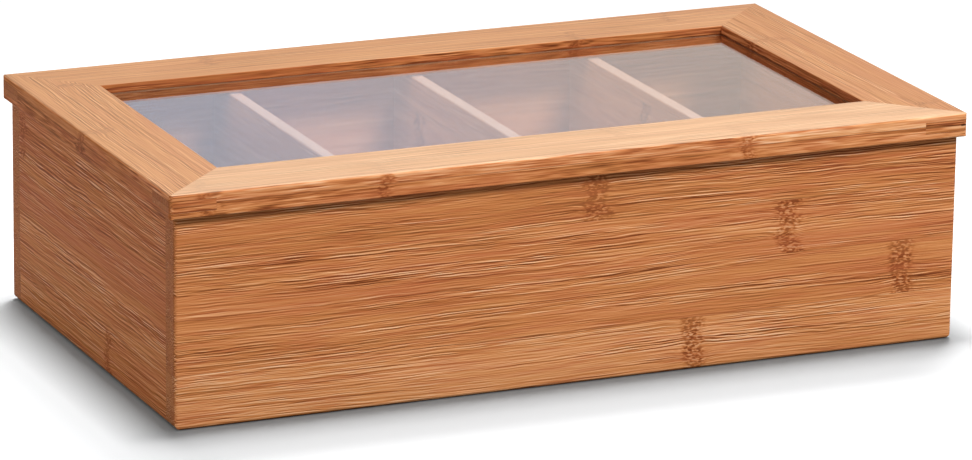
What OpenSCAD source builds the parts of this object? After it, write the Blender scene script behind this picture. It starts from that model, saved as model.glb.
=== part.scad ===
// Tea bag organizer box. Four bamboo walls stand round a bottom panel and three
// dividers, and a hinged lid frames a clear pane over the four compartments.
// The box is closed and stands on its base: front towards -Y, left towards -X.

/* [Overall] */
// Width of the lid, which is the widest part
lid_w = 360; // [320:1:400]
// Depth of the lid, front to back
lid_d = 205; // [180:1:240]
// How far the lid stands out past the walls all round
overhang = 3; // [2.8:0.1:4]

/* [Walls] */
// Height of the walls
wall_h = 89.5; // [75:0.5:110]
// Thickness of the walls
wall_t = 10; // [9:0.5:12]
// Rounding of the upright edges and of the bottom edges at the front and back
wall_round = 1.5; // [0.8:0.1:2.5]
// Rounding of the bottom edges at the two sides
foot_round = 3.5; // [1.5:0.5:5]
// Rounding of the rim, inside and outside
rim_round = 0.6; // [0.3:0.1:1]
// Length of the tongues that join the side walls to the front and back walls
tongue_l = 3; // [2:0.5:4]
// Thickness of those tongues
tongue_t = 4; // [3:0.5:5]

/* [Bottom panel] */
// Thickness of the bottom panel
panel_t = 4; // [3:0.5:8]
// Height of its underside above the table
panel_up = 4; // [3:0.5:8]
// How deep the panel runs into its grooves in the walls
panel_in = 4; // [2:0.5:5]

/* [Dividers] */
// Thickness of a divider
divider_t = 5.7; // [4:0.1:8]
// How deep a divider runs into its housings in the front and back walls
housing_in = 3; // [2:0.5:4]
// How far the dividers stop below the rim
divider_drop = 0.5; // [0.5:0.5:10]
// Rounding of a divider's top edges
divider_round = 0.8; // [0.4:0.1:1.6]

/* [Lid frame] */
// Thickness of the lid frame
lid_t = 10.5; // [9.5:0.5:14]
// Width of the four frame pieces
rail_w = 33; // [28:0.5:45]
// Rounding of the lid's corners, seen from above
corner_round = 2; // [1.5:0.1:5]
// Rounding of the outer top edge
top_round = 1.2; // [0.8:0.1:2.5]
// Rounding of the outer bottom edge
under_round = 0.8; // [0.4:0.1:1.2]
// Rounding of the window's edges
window_round = 0.5; // [0.3:0.1:1]
// Gap between the closed lid and the rim
lid_gap = 0.2; // [0.1:0.1:0.6]

/* [Corner keys] */
// Length of a key along either side of its corner
key_leg = 20; // [12:1:26]
// Thickness of a key
key_t = 5; // [2:0.5:5]

/* [Pane] */
// Thickness of the clear pane
pane_t = 2; // [1.5:0.5:3]
// Depth of the pane below the top of the lid
pane_drop = 4; // [3:0.5:5]
// How deep the pane runs into its groove in the frame
pane_in = 6; // [3:0.5:10]

/* [Hinges] */
// Distance of each hinge's middle from the side of the box
hinge_side = 62; // [40:1:80]
// Length of a hinge
hinge_l = 30; // [24:1:40]
// Width of a leaf, from the axis to its edge
leaf_w = 8; // [7:0.5:8.5]
// Thickness of a leaf
leaf_t = 1; // [0.8:0.1:1.2]
// Rounding of a leaf's corners
leaf_round = 0.8; // [0.4:0.1:1.5]
// Radius of the knuckles
knuckle_r = 2.1; // [1.8:0.1:2.3]
// Radius of the pin
pin_r = 0.9; // [0.7:0.1:1.1]
// Radius of the pin's heads
pin_head_r = 1.5; // [1.3:0.1:1.7]
// Length of each head of the pin
pin_head_l = 0.6; // [0.4:0.1:1]
// Distance of the axis behind the back wall
axis_out = 0.5; // [0.4:0.1:0.8]

/* [Hinge screws] */
// Distance of each screw from the middle of its leaf
screw_x = 9; // [7:0.5:11]
// Distance of the screws from the leaf's front edge
screw_edge = 3.2; // [2.8:0.1:3.6]
// Length of a screw
screw_l = 7; // [5:0.5:8]
// Radius of a screw's shank
screw_r = 1; // [0.8:0.1:1.2]
// Radius of a screw's countersunk head
screw_head_r = 1.9; // [1.7:0.1:2.1]

/* [Hidden] */
$fn = 48;

// Running past a face, so that a cut leaves no skin
past = 1;
// Play of a glued joint, on each side
glue_gap = 0.05;
// Play of the pane in its groove, on each side
pane_gap = 0.1;
// Radial play of a hinge pin in its knuckles
pin_gap = 0.05;
// Gap between neighbouring knuckles
knuckle_gap = 0.2;
// Room round the knuckles in the wood and beside the other leaf
barrel_gap = 0.4;
// How far a leaf lies below the face of the wood
leaf_sink = 0.05;
// Knuckles of a hinge, shared out alternately between its two leaves
knuckles = 5;
// How far a knuckle's tab runs into its leaf
tab_grip = 0.5;
// Play of a screw in its hole, all round
screw_gap = 0.05;
// Radius of a screw's tip, and the depth and width of the cross recess in its head
tip_r = 0.2;
recess_deep = 0.6;
recess_wide = 0.5;

box_w = lid_w - 2 * overhang;
box_d = lid_d - 2 * overhang;
inner_w = box_w - 2 * wall_t;
inner_d = box_d - 2 * wall_t;
floor_z = panel_up + panel_t;
divider_top = wall_h - divider_drop;
// Four equal compartments between the side walls
compartment_w = (inner_w - 3 * divider_t) / 4;
divider_pitch = compartment_w + divider_t;

lid_z = wall_h + lid_gap;
lid_top = lid_z + lid_t;
window_w = lid_w - 2 * rail_w;
window_d = lid_d - 2 * rail_w;
pane_z = lid_top - pane_drop - pane_t;
key_z = lid_z + (lid_t - key_t) / 2;

hinge_x = box_w / 2 - hinge_side;
axis_y = box_d / 2 + axis_out;
axis_z = wall_h + lid_gap / 2;
// Height of a leaf's face above or below the axis
leaf_face = lid_gap / 2 + leaf_sink;
leaf_back = leaf_face + leaf_t;
leaf_front = knuckle_r + barrel_gap;
screw_y = leaf_w - screw_edge;
screw_cone = screw_head_r - screw_r;
knuckle_pitch = hinge_l / knuckles;
barrel_l = hinge_l + 2 * (pin_head_l + barrel_gap);

// A block centred on X and Y that stands on z = 0
module block(w, d, h) {
    translate([-w / 2, -d / 2, 0]) cube([w, d, h]);
}

// A rectangle centred on both axes, with round corners
module round_rectangle(w, d, r) {
    square([w - 2 * r, d], center = true);
    square([w, d - 2 * r], center = true);
    for (x = [-1, 1], y = [-1, 1])
        translate([x * (w / 2 - r), y * (d / 2 - r)]) circle(r);
}

// What is cut from the corner of a section to round it; the corner is the origin
module corner_waste(r) {
    difference() {
        translate([-past, -past]) square(r + past);
        translate([r, r]) circle(r);
    }
}

// The outline of the box cut upright, w wide, centred on X and rounded by r at the foot
module outer_section(w, r) {
    difference() {
        translate([-w / 2, 0]) square([w, wall_h]);
        for (side = [0, 1]) mirror([side, 0]) translate([-w / 2, 0]) {
            corner_waste(r);
            translate([0, wall_h]) mirror([0, 1]) corner_waste(rim_round);
        }
    }
}

// The space between two walls w apart, wider at the top where the rim is round
module inner_section(w) {
    translate([-w / 2, -past]) square([w, wall_h + 2 * past]);
    for (side = [0, 1]) mirror([side, 0])
        translate([-w / 2, wall_h]) rotate(180) corner_waste(rim_round);
}

// What two upright sections have in common, one seen from the front, one from the side
module crossed() {
    length = lid_w + lid_d;
    intersection() {
        translate([0, length / 2, 0]) rotate([90, 0, 0]) linear_extrude(length) children(0);
        translate([-length / 2, 0, 0]) rotate([90, 0, 90]) linear_extrude(length) children(1);
    }
}

// The four walls in one: rounded outside, open at the top and the bottom
module wall_ring() {
    difference() {
        intersection() {
            linear_extrude(wall_h) round_rectangle(box_w, box_d, wall_round);
            crossed() {
                outer_section(box_w, foot_round);
                outer_section(box_d, wall_round);
            }
        }
        crossed() {
            inner_section(inner_w);
            inner_section(inner_d);
        }
    }
}

// The space of the bottom panel; the grooves have a little more than the panel
module panel_space(gap) {
    grow = 2 * (panel_in + gap);
    translate([0, 0, panel_up - gap])
        block(inner_w + grow, inner_d + grow, panel_t + 2 * gap);
}

// The space of one divider, up to height top
module divider_space(x, gap, top) {
    translate([x, 0, floor_z])
        block(divider_t + 2 * gap, inner_d + 2 * (housing_in + gap), top - floor_z);
}

// The front wall without anything for the hinges
module long_wall() {
    difference() {
        intersection() {
            wall_ring();
            translate([0, -(box_d - wall_t) / 2, 0]) block(box_w, wall_t, wall_h);
        }
        panel_space(glue_gap);
        for (i = [-1:1]) divider_space(i * divider_pitch, glue_gap, wall_h + past);
        for (side = [-1, 1])
            translate([side * (inner_w + tongue_t) / 2, -inner_d / 2, -past])
                block(tongue_t + 2 * glue_gap, 2 * (tongue_l + glue_gap), wall_h + 2 * past);
    }
}

module front_wall() {
    color("peru") long_wall();
}

module back_wall() {
    color("peru") difference() {
        mirror([0, 1, 0]) long_wall();
        for (side = [-1, 1]) hinge_place(side) leaf_seat();
    }
}

// The left wall; its tongues enter the front and back walls
module side_wall() {
    color("chocolate") difference() {
        union() {
            intersection() {
                wall_ring();
                translate([-(box_w - wall_t) / 2, 0, 0]) block(wall_t, inner_d, wall_h);
            }
            translate([-(inner_w + tongue_t) / 2, 0, 0])
                block(tongue_t, inner_d + 2 * tongue_l, wall_h);
        }
        panel_space(glue_gap);
    }
}

module bottom_panel() {
    color("burlywood") panel_space(0);
}

// An upright board with rounded top edges, let into the front and back walls
module divider(x) {
    length = inner_d + 2 * housing_in;
    color("burlywood") translate([x, length / 2, floor_z]) rotate([90, 0, 0])
        linear_extrude(length) difference() {
            height = divider_top - floor_z;
            translate([-divider_t / 2, 0]) square([divider_t, height]);
            for (side = [0, 1]) mirror([side, 0])
                translate([-divider_t / 2, height]) mirror([0, 1]) corner_waste(divider_round);
        }
}

// The section of a frame piece, with its outer face at 0 and its underside at 0
module rail_section() {
    difference() {
        square([rail_w, lid_t]);
        corner_waste(under_round);
        translate([0, lid_t]) mirror([0, 1]) corner_waste(top_round);
        translate([rail_w, lid_t]) mirror([1, 0]) mirror([0, 1]) corner_waste(window_round);
        translate([rail_w, 0]) mirror([1, 0]) corner_waste(window_round);
    }
}

// The outline of the lid from above, extruded from z for height h
module lid_outline(z, h) {
    translate([0, 0, z]) linear_extrude(h) round_rectangle(lid_w, lid_d, corner_round);
}

// The space of the pane and of its groove
module pane_space(gap) {
    grow = 2 * (pane_in + gap);
    translate([0, 0, pane_z - gap]) block(window_w + grow, window_d + grow, pane_t + 2 * gap);
}

// The space of the corner key at the front left
module key_space(gap) {
    leg = key_leg + gap;
    translate([-lid_w / 2, -lid_d / 2, key_z - gap]) linear_extrude(key_t + 2 * gap)
        polygon([[-past, -past], [leg + past, -past], [-past, leg + past]]);
}

// Places its child at each of the four corners of the lid
module at_corners() {
    for (x = [0, 1], y = [0, 1]) mirror([x, 0, 0]) mirror([0, y, 0]) children();
}

// One mitred side of the frame: span is the side's full length, depth its
// distance across to the side opposite. It lies at the front, along X.
module frame_side(span, depth) {
    intersection() {
        translate([-span / 2, -depth / 2, lid_z]) rotate([90, 0, 90])
            linear_extrude(span) rail_section();
        translate([0, -depth / 2, lid_z - past]) linear_extrude(lid_t + 2 * past)
            polygon([
                [-span / 2, 0], [span / 2, 0],
                [span / 2 - rail_w, rail_w], [-span / 2 + rail_w, rail_w]
            ]);
    }
}

// A frame side made ready for its neighbours: round corners, groove and kerfs
module fitted(swap) {
    difference() {
        intersection() {
            rotate(swap ? -90 : 0)
                frame_side(swap ? lid_d : lid_w, swap ? lid_w : lid_d);
            lid_outline(lid_z - past, lid_t + 2 * past);
        }
        pane_space(pane_gap);
        at_corners() key_space(glue_gap);
    }
}

module lid_front_rail() {
    color("sandybrown") fitted(false);
}

module lid_back_rail() {
    color("sandybrown") difference() {
        mirror([0, 1, 0]) fitted(false);
        for (side = [-1, 1]) hinge_place(side) mirror([0, 0, 1]) leaf_seat();
    }
}

module lid_side_stile(side) {
    color("tan") mirror([side > 0 ? 1 : 0, 0, 0]) fitted(true);
}

// A key glued into the kerf across a mitre, flush with the frame's outer faces
module corner_key(x, y) {
    color("saddlebrown") mirror([x, 0, 0]) mirror([0, y, 0]) intersection() {
        key_space(0);
        lid_outline(key_z, key_t);
    }
}

module window_pane() {
    color("lightcyan", 0.4) pane_space(0);
}

// Moves its child to a hinge: X along the axis, -Y towards the front of the box
module hinge_place(side) {
    translate([side * hinge_x, axis_y, axis_z]) children();
}

module along_x(r, l) {
    rotate([0, 90, 0]) cylinder(r = r, h = l, center = true);
}

// Places its child at the two screws of a box leaf, heads up
module at_screws() {
    for (side = [-1, 1]) translate([side * screw_x, -screw_y, -leaf_face]) children();
}

// A countersunk screw below z = 0, grown by gap; the leaf's hole is the same shape
module screw_body(gap) {
    top = screw_head_r + gap;
    translate([0, 0, -screw_cone]) cylinder(r1 = screw_r + gap, r2 = top, h = screw_cone);
    translate([0, 0, -screw_l + screw_r]) cylinder(r = screw_r + gap, h = screw_l - screw_r);
}

module screw() {
    difference() {
        union() {
            screw_body(0);
            translate([0, 0, -screw_l]) cylinder(r1 = tip_r, r2 = screw_r, h = screw_r);
        }
        for (turn = [0, 90]) rotate(turn) translate([0, 0, -recess_deep])
            block(2 * screw_r, recess_wide, recess_deep + past);
    }
}

// The knuckles of one leaf: first is 0 for the outer ones and 1 for those between
module knuckle_row(first) {
    for (i = [first:2:knuckles - 1])
        translate([(i - (knuckles - 1) / 2) * knuckle_pitch, 0, 0]) children();
}

// A hinge leaf below its axis, with its knuckles and countersunk holes
module leaf(first) {
    knuckle_l = knuckle_pitch - knuckle_gap;
    difference() {
        union() {
            translate([0, -(leaf_w + leaf_front) / 2, -leaf_back]) linear_extrude(leaf_t)
                intersection() {
                    square([hinge_l, leaf_w - leaf_front], center = true);
                    translate([0, leaf_round])
                        round_rectangle(hinge_l, leaf_w - leaf_front + 2 * leaf_round, leaf_round);
                }
            knuckle_row(first) along_x(knuckle_r, knuckle_l);
            knuckle_row(first) translate([0, -(leaf_front + tab_grip) / 2, -leaf_back])
                block(knuckle_l, leaf_front + tab_grip, leaf_t);
        }
        along_x(pin_r + pin_gap, hinge_l + 2 * past);
        at_screws() screw_body(screw_gap);
    }
}

// The wood removed for a box leaf, its barrel and its screws
module leaf_seat() {
    translate([0, -leaf_w / 2, -leaf_back])
        block(hinge_l + 2 * glue_gap, leaf_w + 2 * glue_gap, leaf_back + past);
    translate([0, overhang / 2, -leaf_front])
        block(barrel_l, 2 * leaf_front + overhang, leaf_front + past);
    at_screws() translate([0, 0, -screw_l - screw_gap])
        cylinder(r = screw_r + screw_gap, h = screw_l + past);
}

module hinge_leaf(side, first) {
    color("silver") hinge_place(side) mirror([0, 0, first]) leaf(first);
}

// The pin is headed over at both ends and stays with the box leaf
module hinge_pin(side) {
    color("gainsboro") hinge_place(side) {
        along_x(pin_r, hinge_l);
        for (end = [-1, 1])
            translate([end * (hinge_l + pin_head_l) / 2, 0, 0]) along_x(pin_head_r, pin_head_l);
    }
}

module leaf_screws(up) {
    color("silver") for (side = [-1, 1]) hinge_place(side) mirror([0, 0, up]) at_screws() screw();
}

front_wall();
back_wall();
side_wall();  // left_wall
mirror([1, 0, 0]) side_wall();  // right_wall
bottom_panel();
divider(-divider_pitch);  // divider_left
divider(0);  // divider_middle
divider(divider_pitch);  // divider_right
lid_front_rail();
lid_back_rail();
lid_side_stile(-1);  // lid_left_stile
lid_side_stile(1);  // lid_right_stile
corner_key(0, 0);  // corner_key_front_left
corner_key(1, 0);  // corner_key_front_right
corner_key(0, 1);  // corner_key_back_left
corner_key(1, 1);  // corner_key_back_right
window_pane();
hinge_leaf(-1, 0);  // left_hinge_box_leaf
hinge_leaf(1, 0);  // right_hinge_box_leaf
hinge_leaf(-1, 1);  // left_hinge_lid_leaf
hinge_leaf(1, 1);  // right_hinge_lid_leaf
hinge_pin(-1);  // left_hinge_pin
hinge_pin(1);  // right_hinge_pin
leaf_screws(0);  // box_leaf_screws
leaf_screws(1);  // lid_leaf_screws
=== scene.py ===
import math

import bpy
from mathutils import Matrix, Vector

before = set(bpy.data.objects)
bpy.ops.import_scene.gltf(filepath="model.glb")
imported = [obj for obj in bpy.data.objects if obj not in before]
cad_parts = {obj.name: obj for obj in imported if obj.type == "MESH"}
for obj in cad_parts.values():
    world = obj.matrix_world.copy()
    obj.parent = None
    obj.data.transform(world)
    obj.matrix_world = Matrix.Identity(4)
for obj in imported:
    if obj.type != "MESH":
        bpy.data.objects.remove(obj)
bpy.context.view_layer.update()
print("frame loaded:", len(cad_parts), "nodes")


# helpers for colours and node materials

def paint(red, green, blue):
    # a colour as a paint program gives it, 0 to 255, turned into linear light
    parts = []
    for value in (red, green, blue):
        share = value / 255
        parts.append(share / 12.92 if share <= 0.04045 else ((share + 0.055) / 1.055) ** 2.4)
    return (*parts, 1)


class Signal:
    # an output socket that can be used in arithmetic; each step adds a Math node
    def __init__(self, sheet, socket):
        self.sheet = sheet
        self.socket = socket

    def also(self, name):
        # another output of the same node
        return Signal(self.sheet, self.socket.node.outputs[name])

    def __add__(self, other):
        return self.sheet.maths("ADD", self, other)

    def __radd__(self, other):
        return self.sheet.maths("ADD", other, self)

    def __sub__(self, other):
        return self.sheet.maths("SUBTRACT", self, other)

    def __rsub__(self, other):
        return self.sheet.maths("SUBTRACT", other, self)

    def __mul__(self, other):
        return self.sheet.maths("MULTIPLY", self, other)

    def __rmul__(self, other):
        return self.sheet.maths("MULTIPLY", other, self)

    def __truediv__(self, other):
        return self.sheet.maths("DIVIDE", self, other)

    def __abs__(self):
        return self.sheet.maths("ABSOLUTE", self)


class NodeSheet:
    # one node tree, filled from left to right
    def __init__(self, tree):
        self.tree = tree
        self.tree.nodes.clear()

    def add(self, kind, settings=None, sockets=None, output=0):
        node = self.tree.nodes.new(kind)
        node.location = (len(self.tree.nodes) // 6 * 220, -(len(self.tree.nodes) % 6) * 260)
        for name, value in (settings or {}).items():
            if name == "stops":
                self.setStops(node.color_ramp, value)
            else:
                setattr(node, name, value)
        for name, value in (sockets or {}).items():
            if isinstance(value, Signal):
                self.tree.links.new(value.socket, node.inputs[name])
            else:
                node.inputs[name].default_value = value
        return Signal(self, node.outputs[output]) if len(node.outputs) else node

    def setStops(self, ramp, stops):
        while len(ramp.elements) < len(stops):
            ramp.elements.new(1)
        for element, (place, colour) in zip(ramp.elements, stops):
            element.position = place
            element.color = colour

    def maths(self, operation, *values):
        return self.add("ShaderNodeMath", {"operation": operation}, dict(enumerate(values)))

    def rise(self, value, low, high):
        # 0 below low, 1 above high, with a soft turn
        return self.add("ShaderNodeMapRange", {"interpolation_type": "SMOOTHSTEP"},
                        {"Value": value, "From Min": low, "From Max": high})

    def atMostOne(self, value):
        return self.maths("MINIMUM", value, 1)

    def matches(self, value, number):
        # 1 where value is within a half of number, else 0
        return self.add("ShaderNodeMath", {"operation": "COMPARE"}, {0: value, 1: number, 2: 0.5})

    def point(self, x, y, z):
        return self.add("ShaderNodeCombineXYZ", sockets={"X": x, "Y": y, "Z": z})

    def part(self, vector, axis):
        return self.add("ShaderNodeSeparateXYZ", sockets={0: vector}, output=axis)

    def noise(self, point, stretch, shift=0, detail=2, roughness=0.5):
        # soft noise whose grains measure stretch, in the point's own units
        shrunk = self.add("ShaderNodeVectorMath", {"operation": "MULTIPLY_ADD"},
                          {0: point, 1: [1 / size for size in stretch], 2: (shift, shift * 0.7, shift * 0.3)})
        return self.add("ShaderNodeTexNoise", sockets={
            "Vector": shrunk, "Scale": 1, "Detail": detail, "Roughness": roughness})

    def chance(self, key):
        # an even random number for each whole value of key
        return self.add("ShaderNodeTexWhiteNoise", {"noise_dimensions": "1D"}, {"W": key}, "Value")

    def blend(self, share, first, second):
        # colour first where share is 0, colour second where it is 1
        return self.add("ShaderNodeMix", {"data_type": "RGBA"}, {0: share, 6: first, 7: second}, 2)


def newFinish(name):
    material = bpy.data.materials.new(name)
    material.use_nodes = True
    return material, NodeSheet(material.node_tree)


def dress(names, material):
    for name in names:
        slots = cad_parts[name].data.materials
        slots.clear()
        slots.append(material)


# camera, at the photograph's place, in metres and degrees

cameraPlace = {
    "at": (-0.9748, -2.2273, 0.7454),
    "turn": 23.7027,   # from straight ahead (+Y) towards the right (+X)
    "down": 16.1901,
    "tilt": 0.7517,
    "lens": 218.55,    # mm, on a sensor 36 mm wide
}


def makeCamera(place):
    data = bpy.data.cameras.new("studioCamera")
    data.sensor_width = 36
    data.lens = place["lens"]
    data.clip_start = 0.05
    data.clip_end = 30
    camera = bpy.data.objects.new("studioCamera", data)
    bpy.context.collection.objects.link(camera)
    turn, down, tilt = (math.radians(place[key]) for key in ("turn", "down", "tilt"))
    facing = (Matrix.Rotation(-turn, 4, "Z") @ Matrix.Rotation(math.pi / 2 - down, 4, "X")
              @ Matrix.Rotation(tilt, 4, "Z"))
    camera.matrix_world = Matrix.Translation(place["at"]) @ facing
    bpy.context.scene.camera = camera


makeCamera(cameraPlace)
bpy.context.scene.view_settings.view_transform = "Standard"
print("camera placed")


# studio: white sweep, four softboxes for the floor and three for the box

studio = {
    "floorSize": 14,
    "floorColour": (0.96, 0.97, 0.98, 1),   # as the camera sees it
    "floorBounce": (0.31, 0.31, 0.31, 1),   # as it throws light back at the box
    "whiteFrom": 0.32,    # distance from the box at which the floor turns to plain white
    "whiteAt": 0.7,
    "fill": 0.21,         # strength of the even light from all round
    "roomGloss": 0.25,    # what gloss sees in front of the box; behind it is white
    "lamps": {
        # name: place, size x and y, power in watts, what it lights
        "stripNear": ((0.005, -0.015, 1.60), (0.39, 0.15), 4.1, "floor"),
        "stripMiddle": ((0.005, 0.085, 1.60), (0.39, 0.35), 7.2, "floor"),
        "stripWide": ((0.005, 0.33, 1.60), (0.39, 0.84), 11.4, "floor"),
        "stripRight": ((0.60, 0.70, 1.60), (0.70, 0.50), 18.2, "floor"),
        "softboxAbove": ((0.05, 0.20, 1.60), (0.90, 0.80), 3, "box"),
        "softboxFront": ((0.60, -1.35, 1.75), (0.90, 0.60), 57.5, "box"),
        "softboxLeft": ((-2.10, -0.30, 1.10), (1.00, 0.80), 13.8, "box"),
    },
    "lampColour": {"softboxLeft": (1, 0.86, 0.72)},   # the others are white
    "aim": (0, 0, 0.05),  # where the box's softboxes look; the floor's look straight down
}


def seenDirectly(sheet):
    # 1 for the camera and for what it sees in gloss or through the pane, else 0
    camera = sheet.add("ShaderNodeLightPath", output="Is Camera Ray")
    return sheet.atMostOne(camera + camera.also("Is Glossy Ray") + camera.also("Is Transmission Ray"))


def makeStudio(plan):
    bpy.ops.object.select_all(action="DESELECT")
    bpy.ops.mesh.primitive_plane_add(size=plan["floorSize"], location=(0, 0, 0))
    floor = bpy.context.object
    floor.name = "floor"
    material, sheet = newFinish("floorWhite")
    seen = seenDirectly(sheet)
    colour = sheet.blend(seen, plan["floorBounce"], plan["floorColour"])
    matt = sheet.add("ShaderNodeBsdfDiffuse", sockets={"Color": colour})
    white = sheet.add("ShaderNodeEmission", sockets={"Color": (1, 1, 1, 1), "Strength": 1})
    place = sheet.add("ShaderNodeTexCoord", output="Object")
    distance = sheet.add("ShaderNodeVectorMath", {"operation": "LENGTH"}, {0: place}, "Value")
    far = sheet.rise(distance, plan["whiteFrom"], plan["whiteAt"]) * seen
    shader = sheet.add("ShaderNodeMixShader", sockets={0: far, 1: matt, 2: white})
    sheet.add("ShaderNodeOutputMaterial", sockets={"Surface": shader})
    floor.data.materials.append(material)

    lit = {"floor": [floor], "box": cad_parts.values()}
    groups = {name: bpy.data.collections.new("lit_" + name) for name in lit}
    for name, members in lit.items():
        for member in members:
            groups[name].objects.link(member)
    for name, (place, size, power, lights) in plan["lamps"].items():
        data = bpy.data.lights.new(name, "AREA")
        data.shape = "RECTANGLE"
        data.size, data.size_y = size
        data.energy = power
        data.color = plan["lampColour"].get(name, (1, 1, 1))
        lamp = bpy.data.objects.new(name, data)
        bpy.context.collection.objects.link(lamp)
        lamp.location = place
        if lights == "box":
            view = Vector(plan["aim"]) - Vector(place)
            lamp.rotation_euler = view.to_track_quat("-Z", "Y").to_euler()
        lamp.light_linking.receiver_collection = groups[lights]

    world = bpy.data.worlds.new("studio")
    bpy.context.scene.world = world
    world.use_nodes = True
    sheet = NodeSheet(world.node_tree)
    # gloss sees white behind the box and a dimmer room in front of it
    way = sheet.add("ShaderNodeTexCoord", output="Generated")
    behind = sheet.rise(sheet.part(way, "Y"), -0.1, 0.6)
    gloss = sheet.add("ShaderNodeLightPath", output="Is Glossy Ray")
    seen = seenDirectly(sheet)
    room = 1 - gloss * (1 - behind) * (1 - plan["roomGloss"])
    strength = plan["fill"] * (1 - seen) + room * seen
    light = sheet.add("ShaderNodeBackground", sockets={"Color": (1, 1, 1, 1), "Strength": strength})
    sheet.add("ShaderNodeOutputWorld", sockets={"Surface": light})


makeStudio(studio)
print("studio lit")


# bamboo: boards glued up from strips; lengths in this section are millimetres

bamboo = {
    "tones": (paint(110, 55, 27), paint(155, 88, 47), paint(188, 114, 65),
              paint(213, 143, 92), paint(235, 175, 126), paint(247, 204, 163)),
    "redPatch": paint(184, 101, 64),
    "yellowPatch": paint(201, 133, 77),
    "knuckleRed": paint(160, 84, 44),
    "jointLine": paint(110, 62, 36),
    "openGapShade": paint(48, 24, 12),
    "endGrain": paint(146, 86, 52),
    "bounce": (0.28, 0.25, 0.23, 1),   # what the outer walls throw on the floor
    "knuckleWide": 3.9,     # half the width of a knuckle along the grain
    "haloWide": 17,         # half the width of the stretch of short fibres round it
    "wander": 12.8,         # how far a knuckle strays along the grain
    "evenTone": 0.455,
    "topSheenRange": (0.72, 1.28),  # darkest and lightest share of the paint on the upper faces, which shows the strips' paler side with a painted sheen
    "gloss": 0.05,
    "rough": 0.56,
    "bump": 0.27,
    "bumpDepth": 0.0004,    # metres
}

# grains of each noise in mm, along the fibres and across them, and its own part of the seed
grains = {
    "fine": (15, 0.6, 13),      # ridges, with a painted highlight and painted shade on their flanks
    "long": (110, 0.8, 15),
    "broad": (60, 2.3, 14),     # soft noises from here on
    "lines": (90, 0.62, 21),
    "dashes": (5.5, 0.8, 25),   # beside a knuckle
    "specks": (2.0, 0.8, 29),   # on a knuckle
    "patches": (110, 9, 33),
    "clouds": (40, 14, 35),
    "hues": (160, 9, 37),
    "tints": (28, 2.4, 39),
    "stir": (120, 6, 41),       # where the streaks are strong
}

# how much each of them shifts the tone
shifts = {
    "own": 0.08,          # from strip to strip
    "fine": 1.58,
    "long": 1.2,
    "broad": 0.56,
    "darkLines": 0.17,
    "paleLoss": 0.35,     # dark fibres stand out, pale ones less
    "fieldLoss": 0.5,     # streaks fade on a knuckle
    "patches": 0.3,
    "clouds": 0.12,
    "dashes": 0.7,
    "darkDashes": 0.2,
    # painted glints on a knuckle
    "glintSpecks": 0.36,
    "darkSpecks": 0.52,
    "field": 0.14,
    "groove": 0.3,        # the shadow at the edge of the pane
}

# how much each colour covers
shares = {
    "hues": 0.4,
    "yellow": 0.3,
    "tints": 0.3,
    "knuckle": 0.3,
    "joint": 0.28,
    "glue": 0.5,
    "gap": 0.9,
    "ends": 0.45,
}

# what a board has unless it says otherwise
plainBoard = {
    "knuckles": (),        # strip number, place along the grain
    "knuckleScale": 1,
    "lighter": 0,          # shift of the whole board's tone
    "stripTonesAndFootLight": (),      # strip number, shift of its tone; a lighter strip can be painted light
    "busy": 1,             # strength of the streaks
    "seam": None,          # height of the glue line between two plies
    "lowerPly": 0,         # shift of the lower ply's tone
    "glueAt": (),          # heights of further glue lines
    "gapFrom": None,       # place along the grain from which the seam stands open, painted dark as the shade inside it
    "paleTopAndSheen": 0,         # how much of the pale side and painted sheen the upper face shows
    # the upper faces' paint: the strips' paler side with a painted sheen
    "topPaintAndSheen": paint(206, 170, 134),
    "topCalm": 0,          # how much weaker the streaks are on the upper face; below 0, stronger
    "inward": 0,           # towards which side along the strips the window lies
    "lipShade": 0,          # painted shade: shift of tone on the face towards the window
    "lipLine": 96.35,      # height of the shadow where the pane enters its groove
    "redder": 0,           # share of red over the whole board
    "innerSide": 0,        # towards which side of a wall the inside of the box lies
    "innerTone": 0.20,     # shift of tone on that face, paler than the outside
    "innerCalm": 0.5,      # how much weaker the streaks are there
    "slope": 0,            # shift of tone for each 100 mm along the grain
    "outside": False,      # an outer wall, which throws plain light on the floor
}

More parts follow.
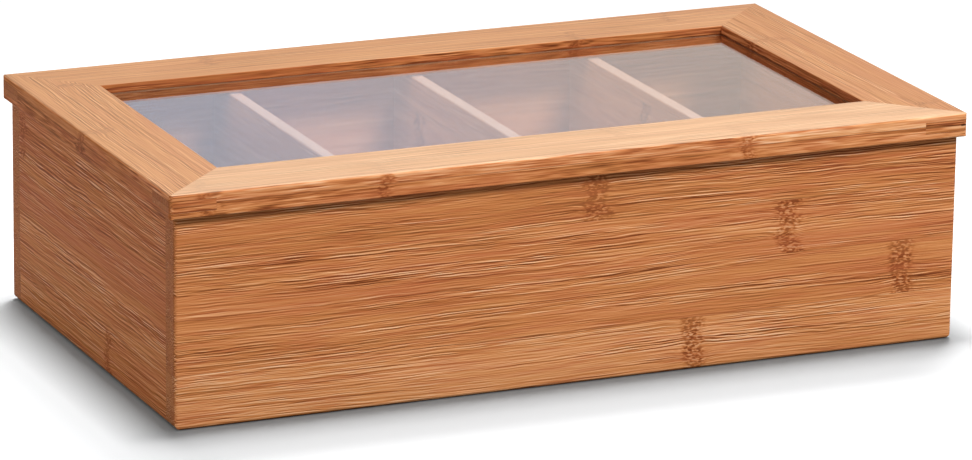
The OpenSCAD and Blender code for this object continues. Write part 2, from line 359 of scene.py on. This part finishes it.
# grain: along the fibres; strips: across them
boards = {
    "front_wall": {"outside": True, "innerSide": 1, "grain": "X", "strips": "Z",
                   "stripWide": 23.3, "stripStart": -0.4, "seed": 3,
                   # the lowest strip is painted lighter, standing in for light thrown up from the floor at
                   # the wall's foot
                   "stripTonesAndFootLight": ((0, 0.19), (1, -0.02), (3, -0.03)),
                   "knuckles": ((3, 8.8), (2, 98.6), (1, 151.9), (0, 54.8))},
    "back_wall": {"outside": True, "innerSide": -1, "grain": "X", "strips": "Z",
                  "stripWide": 23.3, "stripStart": -8, "seed": 11,
                  "knuckles": ((0, 120), (1, -60), (2, 40), (3, -135), (4, 90), (1, 170))},
    "left_wall": {"outside": True, "innerSide": 1, "grain": "Y", "strips": "Z",
                  "stripWide": 23.3, "stripStart": -3, "seed": 19,
                  "busy": 1.3, "lighter": 0.03, "redder": 0.15,
                  "knuckles": ((0, -20), (3, 84)), "knuckleScale": 0.7},
    "right_wall": {"outside": True, "innerSide": -1, "grain": "Y", "strips": "Z",
                   "stripWide": 23.3, "stripStart": -12, "seed": 27,
                   "knuckles": ((0, 40), (1, -35), (2, 10), (3, -70), (4, 60))},
    "bottom_panel": {"grain": "X", "strips": "Y", "stripWide": 22, "stripStart": 5, "seed": 35,
                     "lighter": 0.2, "busy": 0.7,
                     "knuckles": ((-4, 40), (-3, -90), (-2, 110), (-1, -20),
                                  (0, 70), (1, -120), (2, 20), (3, 130))},
    "lid_front_rail": {"grain": "X", "strips": "Y", "stripWide": 21, "stripStart": -84, "seed": 67,
                       "knuckles": ((-1, -163.7), (-1, -87.4), (-1, 77.1), (0, 26.9)), "knuckleScale": 0.55,
                       "lighter": 0.17, "seam": 95.7, "lowerPly": -0.17, "inward": 1, "lipShade": -0.3,
                       "paleTopAndSheen": 0.7, "topPaintAndSheen": paint(220, 187, 154), "topCalm": -0.8, "busy": 0.55,
                       "slope": 0.05, "redder": -0.15},
    "lid_back_rail": {"grain": "X", "strips": "Y", "stripWide": 21, "stripStart": 84, "seed": 75,
                      "knuckles": ((0, -89), (-1, 76), (0, 130)), "knuckleScale": 0.55,
                      "lighter": 0.04, "seam": 95.7, "lowerPly": 0.02, "inward": -1, "lipShade": -0.14,
                      "paleTopAndSheen": 0.5, "busy": 0.7, "redder": -0.15},
    "lid_left_stile": {"grain": "Y", "strips": "X", "stripWide": 21, "stripStart": -165, "seed": 83,
                       "knuckles": ((0, 75), (-1, 1)), "knuckleScale": 0.55,
                       "lighter": 0.04, "seam": 95.7, "lowerPly": -0.15, "inward": 1, "lipShade": -0.15,
                       "paleTopAndSheen": 0.5, "busy": 0.8},
    "lid_right_stile": {"grain": "Y", "strips": "X", "stripWide": 21, "stripStart": 165, "seed": 91,
                        "knuckles": ((0, -81), (-1, 40)), "knuckleScale": 0.55,
                        "lighter": 0.02, "seam": 95.7, "lowerPly": -0.15, "inward": -1, "lipShade": -0.08,
                        "paleTopAndSheen": 0.5, "topPaintAndSheen": paint(192, 155, 120), "busy": 0.8},
}

# the three dividers are alike but for these
divider = {"grain": "Y", "strips": "Z", "stripWide": 22, "lighter": 0.24, "busy": 0.45,
           "paleTopAndSheen": 0.9, "topPaintAndSheen": paint(222, 180, 152), "topCalm": 0.6}
boards["divider_left"] = {**divider, "stripStart": 2, "seed": 43, "knuckles": ((1, 30), (2, -50))}
boards["divider_middle"] = {**divider, "stripStart": 9, "seed": 51, "knuckles": ((0, -10), (2, 60))}
boards["divider_right"] = {**divider, "stripStart": -4, "seed": 59, "knuckles": ((1, -30), (3, 10))}


def bambooFinish(name, board):
    plan = {**plainBoard, **board}
    material, sheet = newFinish("bamboo_" + name)
    seed = plan["seed"]
    place = sheet.add("ShaderNodeTexCoord", output="Object")
    scaled = sheet.add("ShaderNodeVectorMath", {"operation": "SCALE"}, {0: place, "Scale": 1000})
    split = sheet.part(scaled, "X")
    along, across = split.also(plan["grain"]), split.also(plan["strips"])
    deepAxis = next(axis for axis in "XYZ" if axis not in (plan["grain"], plan["strips"]))
    deep = split.also(deepAxis)
    height = split.also("Z")

    # which strip this is, and a few numbers of its own
    inStrips = (across - plan["stripStart"]) / plan["stripWide"]
    key = seed * 7.13
    if plan["seam"]:  # two plies: the lower one has its own strips
        lower = 1 - sheet.rise(height, plan["seam"] - 0.02, plan["seam"] + 0.02)
        inStrips = inStrips + 0.45 * lower
        key = key + 31.7 * lower
    strip = sheet.maths("FLOOR", inStrips)
    key = key + strip * 1.37
    own, ownHue = sheet.chance(key), sheet.chance(key + 0.31)
    edge = abs(inStrips - sheet.maths("ROUND", inStrips)) * plan["stripWide"]
    joint = 1 - sheet.rise(edge, 0.05, 0.35)

    # knuckles: a narrow field of specks, and short dashes on both sides of it
    plain = sheet.point(along, across, deep)
    sway = sheet.noise(plain, (30, 7, 7), seed, 1)
    knuckleWide, haloWide = (bamboo[part] * plan["knuckleScale"] for part in ("knuckleWide", "haloWide"))
    field = halo = 0
    for number, centre in plan["knuckles"]:
        offset = abs(along - (centre + bamboo["wander"] * (sway - 0.5)))
        here = sheet.matches(strip, number)
        field = here * (1 - sheet.rise(offset, knuckleWide * 0.5, knuckleWide * 1.7)) + field
        halo = here * (1 - sheet.rise(offset, knuckleWide, haloWide)) + halo
    if plan["knuckles"]:
        field, halo = sheet.atMostOne(field), sheet.atMostOne(halo)

    # fibres: noise drawn out along the grain; each strip starts at another place of it
    drift = sheet.noise(plain, (160, 40, 40), seed + 5, 1)
    ripple = sheet.noise(plain, (18, 6, 6), seed + 9, 1)
    bentAcross = across + (drift - 0.5) * 5 + (ripple - 0.5) * (0.9 + 2.2 * halo)
    fibrePoint = sheet.point(along + own * 900, bentAcross, deep)

    def fibres(kind, detail=1, start=fibrePoint):
        length, width, number = grains[kind]
        return sheet.noise(start, (length, width, width), seed + number, detail)

    def litRidges(kind):
        # fibres standing proud: a painted highlight on one flank beside painted shade on the other
        aside = (0, grains[kind][1] * 0.6, 0)
        shifted = sheet.add("ShaderNodeVectorMath", {"operation": "ADD"}, {0: fibrePoint, 1: aside})
        return fibres(kind) - fibres(kind, start=shifted)

    fine = litRidges("fine")
    long = litRidges("long")
    broad = fibres("broad")
    lines = fibres("lines", 0)
    dashes = fibres("dashes")
    specks = fibres("specks")
    patches = fibres("patches", 2)
    clouds = fibres("clouds")
    hues = fibres("hues") + (ownHue - 0.5) * 0.25
    tints = fibres("tints")
    stir = fibres("stir")

    darkLines = sheet.rise(lines, 0.58, 0.70)
    facing = sheet.add("ShaderNodeTexCoord", output="Normal")
    top = sheet.rise(sheet.part(facing, "Z"), 0.5, 0.9)
    busy = (0.45 + 1.1 * sheet.rise(stir, 0.32, 0.68)) * (1 - plan["topCalm"] * top) * plan["busy"]
    if plan["innerSide"]:
        inner = sheet.rise(sheet.part(facing, deepAxis) * plan["innerSide"], 0.5, 0.9)
        busy = busy * (1 - plan["innerCalm"] * inner)
    # the streaks carry the grain together with the ridges' painted highlights and shade
    streaks = fine * shifts["fine"] + long * shifts["long"] + (broad - 0.5) * shifts["broad"]
    streaks = streaks - darkLines * shifts["darkLines"]
    streaks = streaks - sheet.maths("MAXIMUM", streaks, 0) * shifts["paleLoss"]
    streaks = streaks * busy * (1 - shifts["fieldLoss"] * field)
    drifts = (patches - 0.5) * shifts["patches"] + (clouds - 0.5) * shifts["clouds"]
    tone = bamboo["evenTone"] + plan["lighter"] + (own - 0.5) * shifts["own"] + drifts + streaks
    if plan["knuckles"]:
        # dark specks on a knuckle, and pale specks that are painted glints off its relief
        darkSpecks, glintSpecks = sheet.rise(specks, 0.50, 0.60), 1 - sheet.rise(specks, 0.40, 0.47)
        darkDashes = sheet.rise(dashes, 0.54, 0.70)
        beside = (dashes - 0.5) * shifts["dashes"] - darkDashes * shifts["darkDashes"]
        inField = glintSpecks * shifts["glintSpecks"] - darkSpecks * shifts["darkSpecks"] - shifts["field"]
        tone = tone + beside * halo + inField * field * plan["knuckleScale"]
    if plan["seam"]:
        tone = tone + plan["lowerPly"] * lower
    if plan["slope"]:
        tone = tone + plan["slope"] * along / 100
    if plan["innerSide"]:
        tone = tone + plan["innerTone"] * inner
    # each listed strip shifts its tone; the front wall's lowest strip gets painted light this way
    for number, shift in plan["stripTonesAndFootLight"]:
        tone = tone + shift * sheet.matches(strip, number)
    if plan["inward"]:  # painted shade: the face round the window is darker, and darker still at the painted shadow where the pane enters its groove
        lip = sheet.rise(sheet.part(facing, plan["strips"]) * plan["inward"], 0.5, 0.9)
        groove = 1 - sheet.rise(abs(height - plan["lipLine"]), 0.15, 0.6)
        tone = tone + (plan["lipShade"] - shifts["groove"] * groove) * lip

    stops = [(number / 5, colour) for number, colour in enumerate(bamboo["tones"])]
    base = sheet.add("ShaderNodeValToRGB", {"stops": stops}, {"Fac": tone})
    redShare = sheet.rise(hues, 0.50, 0.70) * shares["hues"] + plan["redder"]
    base = sheet.blend(redShare, base, bamboo["redPatch"])
    base = sheet.blend((1 - sheet.rise(hues, 0.28, 0.5)) * shares["yellow"], base, bamboo["yellowPatch"])
    base = sheet.blend(sheet.rise(tints, 0.50, 0.68) * shares["tints"], base, bamboo["redPatch"])
    base = sheet.blend((1 - sheet.rise(tints, 0.32, 0.50)) * shares["tints"], base, bamboo["yellowPatch"])
    if plan["knuckles"]:
        base = sheet.blend(field * shares["knuckle"], base, bamboo["knuckleRed"])
    base = sheet.blend(joint * shares["joint"], base, bamboo["jointLine"])
    for level in (plan["seam"], *plan["glueAt"]):
        if level:
            glue = 1 - sheet.rise(abs(height - level), 0.08, 0.32)
            base = sheet.blend(glue * shares["glue"], base, bamboo["jointLine"])
    # painted shade: the open seam is painted dark where its crack would be shaded
    if plan["gapFrom"]:
        past = sheet.rise(along, plan["gapFrom"] - 0.3, plan["gapFrom"] + 0.3)
        gap = past * (1 - sheet.rise(abs(height - plan["seam"]), 0.2, 0.45))
        base = sheet.blend(gap * shares["gap"], base, bamboo["openGapShade"])
    if plan["paleTopAndSheen"]:  # the broad face shows the paler side of the strips, lightened further by a painted sheen
        darker, lighter = (
            tuple(gain * part for part in plan["topPaintAndSheen"][:3]) + (1,) for gain in bamboo["topSheenRange"])
        paleAndSheen = sheet.blend(0.5 + drifts * 1.3 + streaks, darker, lighter)
        base = sheet.blend(top * plan["paleTopAndSheen"], base, paleAndSheen)
    # end grain drinks more finish and is darker
    ends = sheet.rise(abs(sheet.part(facing, plan["grain"])), 0.75, 0.95)
    base = sheet.blend(ends * shares["ends"], base, bamboo["endGrain"])
    if plan["outside"]:
        bounced = sheet.add("ShaderNodeLightPath", output="Is Diffuse Ray")
        base = sheet.blend(bounced, base, bamboo["bounce"])

    relief = fine * 0.5 - darkLines * 0.6 - joint * 0.5
    if plan["knuckles"]:
        relief = relief + (specks - 0.5) * field * 1.8 + (dashes - 0.5) * halo
    bump = sheet.add("ShaderNodeBump", sockets={
        "Strength": bamboo["bump"], "Distance": bamboo["bumpDepth"], "Height": relief})
    shader = sheet.add("ShaderNodeBsdfPrincipled", sockets={
        "Base Color": base, "Roughness": bamboo["rough"] - 0.12 * fine + 0.08 * darkLines, "Normal": bump,
        "Specular IOR Level": bamboo["gloss"]})
    sheet.add("ShaderNodeOutputMaterial", sockets={"Surface": shader})
    return material


for name, board in boards.items():
    dress([name], bambooFinish(name, board))
print("bamboo boards finished:", len(boards))


# corner keys, set in the lid's corners across the mitres; dark above, pale below

cornerKey = {"grain": "X", "strips": "Y", "stripWide": 60, "stripStart": 20, "lighter": -0.12,
             "seam": 94.95, "lowerPly": 0.15, "glueAt": (92.5, 97.4), "busy": 0.8}
keys = {
    "corner_key_front_left": {"seed": 5},
    "corner_key_front_right": {"seed": 6, "lighter": -0.25, "lowerPly": 0.4, "busy": 1.1,
                               "gapFrom": 176.8},
    "corner_key_back_left": {"seed": 7},
    "corner_key_back_right": {"seed": 8},
}

for name, key in keys.items():
    dress([name], bambooFinish(name, {**cornerKey, **key}))
print("corner keys finished:", len(keys))


# the clear pane

pane = {
    "tint": (0.93, 0.95, 0.98, 1),          # what each face lets through
    "mirrorLeft": (0.85, 0.87, 0.98, 1),     # its reflection is cooler at the left end
    "mirrorRight": (1.0, 0.86, 0.77, 1),    # and warmer at the right end
    "mirrorEnds": (-0.13, 0.13),
    "bend": 1.54,                           # refractive index
    "haze": 0.035,
    "smear": 0.03,
}


def paneFinish(plan):
    material, sheet = newFinish("clearPane")
    place = sheet.add("ShaderNodeTexCoord", output="Object")
    wiped = sheet.noise(place, (0.06, 0.03, 0.03), 4, 2)
    mirror = sheet.add("ShaderNodeFresnel", sockets={"IOR": plan["bend"]})
    bent = sheet.add("ShaderNodeBsdfRefraction", sockets={
        "Color": plan["tint"], "Roughness": plan["haze"], "IOR": plan["bend"]})
    cool, warm = (sheet.add("ShaderNodeBsdfGlossy", sockets={
        "Color": plan[end], "Roughness": wiped * plan["smear"]}) for end in ("mirrorLeft", "mirrorRight"))
    towardsRight = sheet.rise(sheet.part(place, "X"), *plan["mirrorEnds"])
    gloss = sheet.add("ShaderNodeMixShader", sockets={0: towardsRight, 1: cool, 2: warm})
    glass = sheet.add("ShaderNodeMixShader", sockets={0: mirror, 1: bent, 2: gloss})
    # light from the lamps and the room passes straight through
    lampRay = sheet.add("ShaderNodeLightPath", output="Is Shadow Ray")
    passing = sheet.atMostOne(lampRay + lampRay.also("Is Diffuse Ray"))
    clear = sheet.add("ShaderNodeBsdfTransparent", sockets={"Color": plan["tint"]})
    shader = sheet.add("ShaderNodeMixShader", sockets={0: passing, 1: glass, 2: clear})
    sheet.add("ShaderNodeOutputMaterial", sockets={"Surface": shader})
    return material


dress(["window_pane"], paneFinish(pane))
print("pane finished")


# hinges, pins and screws

hardware = {
    "hingeMetal": {"colour": (0.44, 0.42, 0.39), "rough": 0.36},
    "pinMetal": {"colour": (0.40, 0.39, 0.38), "rough": 0.30},
    "screwMetal": {"colour": (0.50, 0.48, 0.45), "rough": 0.32},
}


def metalFinish(name, plan):
    material, sheet = newFinish(name)
    place = sheet.add("ShaderNodeTexCoord", output="Object")
    brushed = sheet.noise(place, (0.012, 0.00025, 0.00025), 3, 2)
    cloud = sheet.noise(place, (0.004, 0.004, 0.004), 7, 2)
    dull = tuple(0.7 * part for part in plan["colour"])
    shade = sheet.blend(sheet.rise(cloud, 0.35, 0.7) * 0.25, (*plan["colour"], 1), (*dull, 1))
    bump = sheet.add("ShaderNodeBump", sockets={"Strength": 0.15, "Distance": 0.00005, "Height": brushed})
    rough = plan["rough"] + 0.16 * (brushed - 0.5) + 0.1 * cloud
    shader = sheet.add("ShaderNodeBsdfPrincipled", sockets={
        "Base Color": shade, "Metallic": 1.0, "Roughness": rough, "Normal": bump})
    sheet.add("ShaderNodeOutputMaterial", sockets={"Surface": shader})
    return material


sides = ("left", "right")
dress([f"{side}_hinge_{body}_leaf" for side in sides for body in ("box", "lid")],
      metalFinish("hingeMetal", hardware["hingeMetal"]))
dress([f"{side}_hinge_pin" for side in sides], metalFinish("pinMetal", hardware["pinMetal"]))
dress(["box_leaf_screws", "lid_leaf_screws"], metalFinish("screwMetal", hardware["screwMetal"]))
print("hinges finished")
